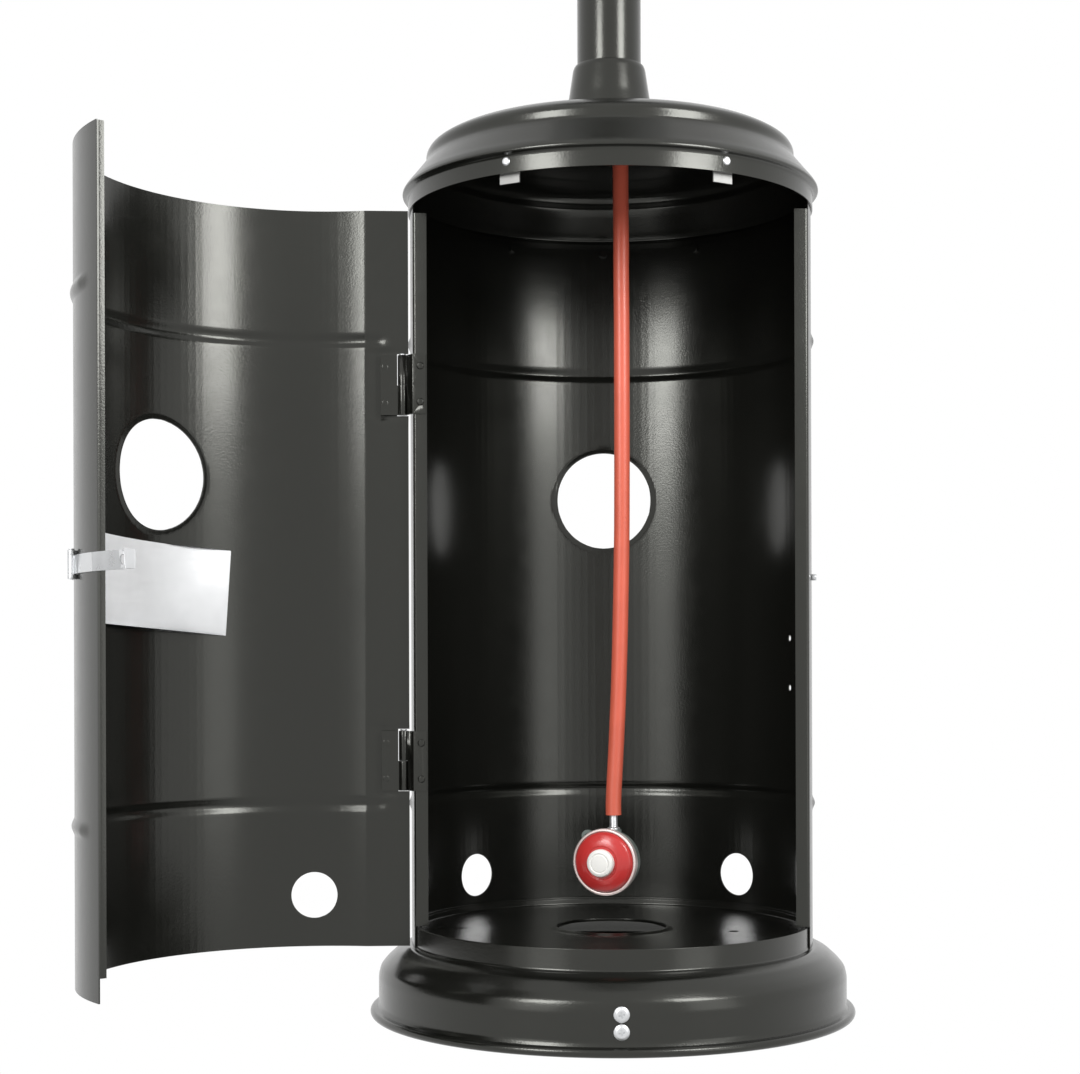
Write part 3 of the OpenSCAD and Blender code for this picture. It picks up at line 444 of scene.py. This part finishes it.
# fixed shell: the path runs on its outside from the hinge side round the back, faces pushed inwards
jamb_left, jamb_right, jamb_bend = 193.6, -17.8, 2.0
arc_steps = 84
left_corner, right_corner = polar(SHELL_R, jamb_left), polar(SHELL_R, jamb_right)
shell_path = rounded([(left_corner[0] + FLANGE, left_corner[1] - 0.2), left_corner,
                      polar(SHELL_R, jamb_left - jamb_bend)], 2.2, 5)[:-1]
shell_path += [polar(SHELL_R, jamb_left - jamb_bend
                     + (jamb_right - jamb_left + 2 * jamb_bend) * i / arc_steps)
               for i in range(arc_steps + 1)]
shell_path += rounded([polar(SHELL_R, jamb_right + jamb_bend), right_corner,
                       (right_corner[0] - FLANGE, right_corner[1] - 0.2)], 2.2, 5)[1:]
shell_vents = [(station(shell_path, 90), VENT_Z, VENT_R)]
shell_holes = shell_vents + [(station(shell_path, a), LOW_HOLE_Z, LOW_HOLE_R) for a in (45, 135)]
shell_holes += [(station(shell_path, 19), z, SCREW_HOLE_R) for z in SCREW_HOLE_ZS]
fold_l = station(shell_path, 192.9)
fold_r = station(shell_path, -17.1)


def shell_keep(s, z):
    return JAMB_LOW < z < SHELL_JAMB_TOP or fold_l < s < fold_r


# door: drawn closed, on its inside from the hinge round the front, faces pushed outwards
leaf_dir = (Vector(polar(SHELL_R, 195.8)) - HINGE).normalized()
leaf_side = Vector((-leaf_dir.y, leaf_dir.x))
flange_start = HINGE + leaf_dir * -5.5 + leaf_side * -0.6
fold_a, arc_end, free_a = 200.0, 338.4, 339.0
leaf_end = 10.6
flange_slope, fold_slope = 0.084, 2.2
door_path = rounded([tuple(flange_start), polar(SHELL_IN, fold_a),
                     polar(SHELL_IN, fold_a + 1)], 1.6, 4)[:-1]
door_path += [polar(SHELL_IN, fold_a + 1 + (arc_end - 1 - fold_a) * i / 60) for i in range(61)]
door_path += rounded([polar(SHELL_IN, arc_end), polar(SHELL_IN, free_a), polar(184.8, free_a)],
                     1.6, 4)[1:]
door_vents = [(station(door_path, 262), VENT_Z, VENT_R)]
door_holes = door_vents + [(station(door_path, 215), LOW_HOLE_Z, LOW_HOLE_R)]
edge_s = station(door_path, 338.7)
fold_s = station(door_path, fold_a)


def door_keep(s, z):
    if s < leaf_end and any(h - 0.5 < z < h + HINGE_H + 1.7 for h in HINGE_ZS):
        return False
    return s < edge_s or JAMB_LOW < z < DOOR_JAMB_TOP


def door_push(s, z):
    """The door's pressed forms, and its flange set back to lie flat under the hinge leaves."""
    seat = sum(soft_step((z - h + 8) / 6) * soft_step((h + HINGE_H + 9 - z) / 6) for h in HINGE_ZS)
    return door_forms(s, z) + seat * flange_slope * min(s, max(0.0, fold_slope * (fold_s - s)))


shell_mesh = grid_sheet(
    shell_path, row_heights(66, 767.5, (JAMB_LOW, SHELL_JAMB_TOP)),
    pressings(shell_path, BEADS, (station(shell_path, 187.6), station(shell_path, -11.8)),
              shell_vents, -1),
    shell_holes, SHEET, shell_keep)
piece("housing_sheet", shell_mesh, "housing", coat, ["rear_shell"])

hinge_cuts = [h + v for h in HINGE_ZS for v in (-8, -6, -4, -2, -0.5)]
hinge_cuts += [h + HINGE_H + v for h in HINGE_ZS for v in (1.7, 3, 5, 7, 9)]
door_forms = pressings(door_path, BEADS, (18, station(door_path, 332.4)), door_vents, 1)
door_mesh = grid_sheet(
    door_path, row_heights(67, 757, (JAMB_LOW, DOOR_JAMB_TOP, *hinge_cuts)),
    door_push, door_holes, SHEET, door_keep, (leaf_end, 15, 20, 24, 27.5, 31, 35))
door_mesh.transform(OPEN)
piece("door_sheet", door_mesh, "door", coat, ["door_shell"])

# dome with its collar, base with its rolled foot, post and its cover
dome_top_z = 829.5
dome_line = rounded([(192.2, 758.5), (192.2, 774), (197.5, 775.5), (197.5, 777.5), (195, 781.5),
                     (191, 786), (181.5, 797.5), (174.5, 806), (175, 813.5), (172.5, 818.5),
                     (167.5, 822), (160.5, 825.5), (141.5, 828.5), (58, dome_top_z)], 2.6, 3)
dome_back = rounded([(58, 828), (141, 827), (159.7, 824), (166.5, 820.7), (171.2, 817.5), (173.5, 813.1),
                     (172.9, 805.5), (180.3, 796.5), (189.8, 785), (193.6, 780.7), (196, 777),
                     (190.7, 775.3), (190.7, 758.5)], 2.4, 3)
piece("dome_sheet", lathe([(0, dome_top_z)] + dome_line[::-1] + dome_back[::-1] + [(0, 828)], 192),
      "housing", coat, ["dome"], angle=50)

skirt_out_r, foot_out_r = 222.0, 230.0
foot_roll = [(foot_out_r - 3.6 + 3.6 * math.cos(t), 4.0 + 3.9 * math.sin(t))
             for t in [math.radians(d) for d in range(-88, 107, 15)]]
base_line = rounded([(skirt_out_r + 1.6, 8.6), (skirt_out_r, 12), (skirt_out_r, 38),
                     (skirt_out_r - 2, 46), (skirt_out_r - 8, 53), (skirt_out_r - 17, 61),
                     (skirt_out_r - 27, 66),
                     (188.8, 66), (188.8, 85.6), (188.2, 86), (187.4, 86), (186.8, 85.6),
                     (186.8, 64), (194, 64), (203.5, 59), (212, 51), (218, 45), (220, 38), (220, 9),
                     (221, 6), (226, 5)], 2.6, 3)
piece("base_sheet", lathe(foot_roll + base_line, 220, closed=True), "housing", coat,
      ["base_cover"], angle=50)

POST_R = 30.4
cover_line = rounded([(50, dome_top_z), (50, dome_top_z + 2.2), (46.5, dome_top_z + 6.5), (38.6, 871),
                      (34.6, 897.5), (33.1, 901.2), (POST_R + 0.4, 901.5)], 3.0, 3)
cover_back = [(POST_R + 0.35, 900), (32.6, 896.5), (37.2, 870), (45, 835.5), (48.4, dome_top_z)]
piece("post_cover_sheet", lathe(cover_line + cover_back, 128, closed=True), "housing",
      coat, ["post_cover"], angle=50)

post_line = [(POST_R, dome_top_z), (POST_R, 1679.4), (POST_R - 0.4, 1680), (POST_R - 1.1, 1680),
             (POST_R - 1.5, 1679.4), (POST_R - 1.5, dome_top_z)]
piece("post_pipe", lathe(post_line, 128, closed=True),
      "housing", coat, ["post_tube"], angle=50)


# hardware: the CAD shapes with their sharp edges broken
BODY_OF = {name: body for body, names in frame["record"]["behaviour"]["bodies"].items() for name in names}
SLOT_OF = {part["node"]: part["material_slot"] for part in frame["record"]["subparts"]}


def is_flat(face):
    """Whether a face is a large flat one, whose outline is sharp or runs on in the same plane."""
    soft = sum(e.calc_length() for e in face.edges
               if len(e.link_faces) != 2 or 0.02 < e.calc_face_angle() < 0.26)
    return face.calc_area() > face.calc_perimeter() * 0.12 and soft < face.calc_perimeter() * 0.15


def softened(name, width=0.3, segments=2, angle=38, smooth_angle=42, material=None):
    """The same piece with its edges rounded and its turned faces shaded smooth."""
    source = nodes[name]
    bm = bmesh.new()
    bm.from_mesh(source.data)
    bm.transform(source.matrix_world)
    bmesh.ops.remove_doubles(bm, verts=bm.verts, dist=2e-6)
    bmesh.ops.dissolve_limit(bm, angle_limit=math.radians(0.6), verts=bm.verts, edges=bm.edges)
    edges = [e for e in bm.edges
             if len(e.link_faces) == 2 and e.calc_face_angle() > math.radians(angle) and e.is_convex]
    bmesh.ops.bevel(bm, geom=edges, offset=width * MM, offset_type="OFFSET", segments=segments,
                    profile=0.5, affect="EDGES", clamp_overlap=True)
    bm.transform(Matrix.Scale(1 / MM, 4))
    bm.normal_update()
    plain = [f.index for f in bm.faces if is_flat(f)]
    mesh = finished(bm, name + "_finished")
    slot_name = SLOT_OF[name]
    o = piece(name + "_finished", mesh, BODY_OF[name],
              material or SLOT_MATERIALS[slot_name], [name], angle=smooth_angle)
    for i in plain:
        mesh.polygons[i].use_smooth = False
    return o


for name in ("hinge_fixed_leaves", "hinge_door_leaves", "hinge_pins", "latch_bracket", "latch_strap",
             "latch_pin", "keeper_stud", "tab_rivets", "dome_screws", "shell_screws",
             "hinge_fixed_rivets", "hinge_door_rivets", "hose_ferrule", "post_foot", "post_foot_bolts",
             "head_lid", "head_screws", "gas_valve", "igniter_button", "igniter_box", "knob_bezel",
             "wing_nuts", "reflector_spacers", "reflector_studs", "pilot_burner", "burner_plate",
             "head_cup", "head_can", "screen_cap", "burner_tube", "valve_pipe", "valve_spindle",
             "tilt_switch", "ballast_bracket", "hose_grommet", "door_plate", "regulator_body",
             "regulator_nut"):
    softened(name)
softened("control_knob", 0.9, 3)
# the lip tabs get the zinc whose darker colour is painted shade
softened("lip_tabs", material=dull_zinc_painted_shade)

# peened rivet ends on the inner face of the door's hinge leaves
RIVET_X, RIVET_Y, LEAF_TURN = -212.25, -37.8, 6.9
rivet_ends = []
for z in (h + k * HINGE_H for h in HINGE_ZS for k in (0.2, 0.8)):
    end = lathe([(0, 0.2), (2.2, 0.17), (2.8, 0.08), (3.0, -0.1), (0, -0.1)], 28)
    end.transform(Matrix.Translation((RIVET_X, RIVET_Y, z))
                  @ Matrix.Rotation(math.radians(LEAF_TURN), 4, "Z")
                  @ Matrix.Rotation(math.radians(90), 4, "X"))
    rivet_ends.append(end)
piece("door_rivet_ends", joined(rivet_ends, "rivet_ends"), "door", coat, angle=60)


def cut(mesh, *tools):
    """The mesh with the closed tool meshes taken out of it, all in millimetres."""
    first = bpy.data.objects.new("cut", mesh)
    scene.collection.objects.link(first)
    others = []
    for tool in tools:
        o = bpy.data.objects.new("tool", tool)
        scene.collection.objects.link(o)
        others.append(o)
        m = first.modifiers.new("cut", "BOOLEAN")
        m.operation = "DIFFERENCE"
        m.solver = "EXACT"
        m.object = o
    result = bpy.data.meshes.new_from_object(first.evaluated_get(bpy.context.evaluated_depsgraph_get()))
    for o in [first, *others]:
        bpy.data.objects.remove(o)
    return result


def rod(r, z0, z1, steps=32):
    return lathe([(0, z0), (r, z0), (r, z1), (0, z1)], steps)


def block(x, y, z):
    bm = bmesh.new()
    bmesh.ops.create_cube(bm, size=1, matrix=Matrix.Diagonal((x, y, z, 1)))
    return finished(bm, "block")


def moved(mesh, matrix):
    mesh.transform(matrix)
    return mesh


# floor pan with its three small holes
pan_r = 186.5
pan_line = rounded([(52.5, 77), (pan_r, 77), (pan_r, 84), (pan_r - 1.5, 84), (pan_r - 1.5, 78.5),
                    (58.5, 78.5), (54, 81), (52.5, 81)], 1.4, 3, closed=True)
pan_holes = [moved(rod(5, 70, 90), Matrix.Translation((x, y, 0)))
             for x, y in ((-164, 3), (114, -25), (20, 158))]
piece("floor_pan_sheet", cut(lathe(pan_line, 160, closed=True), *pan_holes),
      "housing", coat, ["floor_pan"])

# skirt screws: pan heads with a cross recess and a shank behind
skirt_screws = []
for z in (21, 36):
    seat = Matrix.Translation((0, -(skirt_out_r + 0.02), z)) @ Matrix.Rotation(math.radians(90), 4, "X")
    head = lathe(rounded([(0, 3), (4.2, 3), (7, 1.2), (7, 0), (0, 0)], 1.2, 4), 48)
    slots = [moved(block(5.2, 1.3, 3),
                   Matrix.Translation((0, 0, 3)) @ Matrix.Rotation(math.radians(a), 4, "Z"))
             for a in (12, 102)]
    skirt_screws += [moved(cut(head, *slots), seat), moved(rod(2.9, -6, 0.2), seat)]
piece("skirt_screw_heads", joined(skirt_screws, "skirt_screws"), "housing", zinc, ["skirt_screws"])

# regulator, in its own frame with the red face towards -Y
REG = Matrix.Translation((-4.8, 0, 142)) @ Matrix.Rotation(math.radians(-22), 4, "Z")
AXIS = REG @ Matrix.Rotation(math.radians(-90), 4, "X")
rim_line = rounded([(29.1, -7), (31.2, -7), (32, -5.8), (32, -0.6), (31.2, 1), (29.7, 1), (29.1, -3.2)],
                   0.9, 4, closed=True)
piece("regulator_rim_roll", moved(lathe(rim_line, 128, closed=True), AXIS), "housing",
      ring_mat, ["regulator_rim"], angle=60)
cover_front = rounded([(0, -3.1), (28.9, -3.1), (28.9, -7.5), (27, -10.5), (21, -13.3), (16.2, -14.4),
                       (15.4, -13.6), (14.2, -13.6), (0, -13.6)], 1.6, 4)
piece("regulator_cover_dome", moved(lathe(cover_front, 128), AXIS), "housing", red_paint,
      ["regulator_cover"], angle=50)
cap_line = rounded([(0, -13.7), (13.2, -13.7), (13.2, -18), (12.4, -19.6), (10.4, -20.3), (9.4, -20.3),
                    (9.0, -19.8), (8.4, -19.8), (8.0, -20.3), (0, -20.3)], 0.5, 3)
piece("regulator_cap_button", moved(lathe(cap_line, 96), AXIS), "housing", cream,
      ["regulator_cap"], angle=50)
nipple_line = rounded([(2.5, 30), (6.2, 30), (6.2, 31.6), (4, 32.6), (4, 44), (2.5, 44)],
                      0.5, 2, closed=True)
piece("regulator_nipple_stem", moved(lathe(nipple_line, 48, closed=True),
                                     REG @ Matrix.Translation((3.4, 11.1, 0))), "housing", zinc,
      ["regulator_nipple"], angle=40)

# reflector: a spun disc with a rolled edge
ref_top, ref_r = 2191.5, 406.0
ref_line = [(0, ref_top), (96, ref_top), (110, ref_top - 6), (251.7, ref_top - 35.2), (392, ref_top - 76),
            (ref_r - 1, ref_top - 81), (ref_r, ref_top - 88)]
ref_outer = rounded(ref_line, 9, 5)
ref_inner = [(max(r - 0.4, 0), z - 1.05) for r, z in ref_outer[:-1]]
ref_roll = [(ref_r - 1.6 + 1.5 * math.cos(t), ref_top - 86.5 + 1.5 * math.sin(t))
            for t in [math.radians(d) for d in (0, -40, -80, -120, -160)]]
ref_closed = ref_outer[:-1] + ref_roll + [(ref_r - 2.1, ref_top - 83)] + ref_inner[::-1][1:]
piece("reflector_disc", lathe(ref_closed, 180),
      "housing", reflector_mat, ["reflector"], angle=50)


def perforated(radius, z0, z1, columns, rows, hole_r, border, thickness):
    """A rolled sheet with staggered round holes between two plain borders."""
    bm = bmesh.new()
    width = 2 * math.pi * radius / columns
    height = (z1 - z0 - 2 * border) / rows
    made = {}

    def vert(s, z):
        key = (round(s * 8 / width) % (columns * 8), round(z, 3)) if (s * 8 / width) % 1 < 1e-6 else None
        if key is not None and key in made:
            return made[key]
        a = s / radius
        v = bm.verts.new((radius * math.cos(a), radius * math.sin(a), z))
        if key is not None:
            made[key] = v
        return v

    for j in range(rows):
        zc = z0 + border + (j + 0.5) * height
        for i in range(columns):
            sc = (i + 0.5 * (j % 2)) * width
            rim = [vert(sc + x * width / 2, zc + y * height / 2)
                   for x, y in ((1, 0), (1, 1), (0, 1), (-1, 1), (-1, 0), (-1, -1), (0, -1), (1, -1))]
            hole = [bm.verts.new((radius * math.cos(a), radius * math.sin(a), zc + hole_r * math.sin(t)))
                    for t in [k * math.pi / 4 for k in range(8)]
                    for a in [(sc + hole_r * math.cos(t)) / radius]]
            for k in range(8):
                n = (k + 1) % 8
                bm.faces.new((rim[k], rim[n], hole[n], hole[k]))
    for low, high in ((z0, z0 + border), (z1 - border, z1)):
        for i in range(columns * 2):
            a, b = i * width / 2, (i + 1) * width / 2
            bm.faces.new((vert(a, low), vert(b, low), vert(b, high), vert(a, high)))
    bmesh.ops.remove_doubles(bm, verts=bm.verts, dist=1e-3)
    bmesh.ops.recalc_face_normals(bm, faces=bm.faces)
    bmesh.ops.solidify(bm, geom=bm.faces[:], thickness=thickness)
    return finished(bm, "perforated")


piece("screen_mesh", perforated(93.3, 1861.5, 2121.5, 64, 30, 2.8, 10, 0.6),
      "housing", stainless, ["screen_cylinder"], angle=50)

# Hose
hose_points = [(10.7, 0, 815.5), (10.7, 0, 780), (11, 0, 740), (11, 0, 700), (11.3, 0, 660),
               (11.3, 0, 620), (11.3, 0, 580), (11.3, 1, 540), (11.2, 2, 500), (11, 3, 460),
               (10.4, 4, 420), (9.6, 5, 380), (8.6, 6, 340), (7.3, 7.5, 300), (5.8, 8.5, 265),
               (4, 9, 230), (2.511, 9.018, 201), (2.511, 9.018, 186)]


def smooth_line(points, per=6):
    """Points along a Catmull-Rom line through the given ones."""
    ps = [Vector(p) for p in points]
    ps = [ps[0] * 2 - ps[1]] + ps + [ps[-1] * 2 - ps[-2]]
    line = []
    for i in range(1, len(ps) - 2):
        a, b, c, d = ps[i - 1:i + 3]
        for k in range(per):
            t = k / per
            line.append(0.5 * (2 * b + (c - a) * t + (2 * a - 5 * b + 4 * c - d) * t * t
                               + (3 * b - a - 3 * c + d) * t ** 3))
    line.append(ps[-2])
    return line


HOSE_R = 7.5
hose_line = smooth_line(hose_points)
hose_curve = bpy.data.curves.new("hose", "CURVE")
hose_curve.dimensions = "3D"
hose_curve.bevel_depth = HOSE_R * MM
hose_curve.bevel_resolution = 10
hose_curve.use_fill_caps = True
spline = hose_curve.splines.new("POLY")
spline.points.add(len(hose_line) - 1)
for p, v in zip(spline.points, hose_line):
    p.co = (*(v * MM), 1)
spline.use_smooth = True
hose_curve.materials.append(hose_mat)
hose = bpy.data.objects.new("hose", hose_curve)
scene.collection.objects.link(hose)
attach(hose, "housing")
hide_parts("gas_hose")

# Stage and light
def background_rays(tree):
    """1 for the rays that show the background: from the camera, off gloss and through glass."""
    path = tree.nodes.new("ShaderNodeLightPath")
    seen = path.outputs["Is Camera Ray"]
    for kind in ("Is Glossy Ray", "Is Transmission Ray"):
        either = tree.nodes.new("ShaderNodeMath")
        either.operation = "MAXIMUM"
        tree.links.new(seen, either.inputs[0])
        tree.links.new(path.outputs[kind], either.inputs[1])
        seen = either.outputs[0]
    return seen


def white_where_seen(tree, plain, white_type, out_type):
    """The plain shader for diffuse rays, and white of strength 1 for those that show the background."""
    white = tree.nodes.new(white_type)
    white.inputs["Color"].default_value = (1, 1, 1, 1)
    white.inputs["Strength"].default_value = 1.0
    mix = tree.nodes.new("ShaderNodeMixShader")
    tree.links.new(background_rays(tree), mix.inputs["Fac"])
    tree.links.new(plain.outputs[0], mix.inputs[1])
    tree.links.new(white.outputs[0], mix.inputs[2])
    tree.links.new(mix.outputs[0], next(n for n in tree.nodes if n.type == out_type).inputs["Surface"])


def plain_white(name, color):
    mat = bpy.data.materials.new(name)
    mat.use_nodes = True
    bsdf = next(n for n in mat.node_tree.nodes if n.type == "BSDF_PRINCIPLED")
    bsdf.inputs["Base Color"].default_value = (*color, 1)
    bsdf.inputs["Roughness"].default_value = 0.9
    white_where_seen(mat.node_tree, bsdf, "ShaderNodeEmission", "OUTPUT_MATERIAL")
    return mat


def soft_box(name, x, y, z, size_x, size_y, power):
    """A soft box that faces the object's axis level."""
    light = bpy.data.lights.new(name, "AREA")
    light.shape = "RECTANGLE"
    light.size = size_x
    light.size_y = size_y
    light.energy = power
    o = bpy.data.objects.new(name, light)
    scene.collection.objects.link(o)
    o.location = (x, y, z)
    o.rotation_euler = Vector((-x, -y, 0)).to_track_quat("-Z", "Y").to_euler()
    o.visible_camera = False


floor_mesh = bpy.data.meshes.new("floor")
FLOOR_HALF, FLOOR_Z = 12, -0.0005
floor_mesh.from_pydata([(x * FLOOR_HALF, y * FLOOR_HALF, FLOOR_Z)
                        for x, y in ((-1, -1), (1, -1), (1, 1), (-1, 1))], [], [(0, 1, 2, 3)])
floor = bpy.data.objects.new("floor", floor_mesh)
floor_mesh.materials.append(plain_white("pale_floor", (0.86, 0.86, 0.85)))
scene.collection.objects.link(floor)

world = bpy.data.worlds.new("studio")
scene.world = world
world.use_nodes = True
background = next(n for n in world.node_tree.nodes if n.type == "BACKGROUND")
background.inputs["Color"].default_value = (1, 1, 1, 1)
background.inputs["Strength"].default_value = 0.35
white_where_seen(world.node_tree, background, "ShaderNodeBackground", "OUTPUT_WORLD")

left_xy, right_xy = (-1.06, -1.43), (0.75, -0.84)
soft_box("key_left", *left_xy, 1.25, 0.6, 1.0, 24.0)
soft_box("key_right", *right_xy, 1.15, 0.42, 0.8, 13.5)
soft_box("low_left", *left_xy, 0.38, 0.6, 0.7, 1.5)
soft_box("low_right", *right_xy, 0.38, 0.42, 0.7, 1.05)

scene.view_settings.view_transform = "Standard"
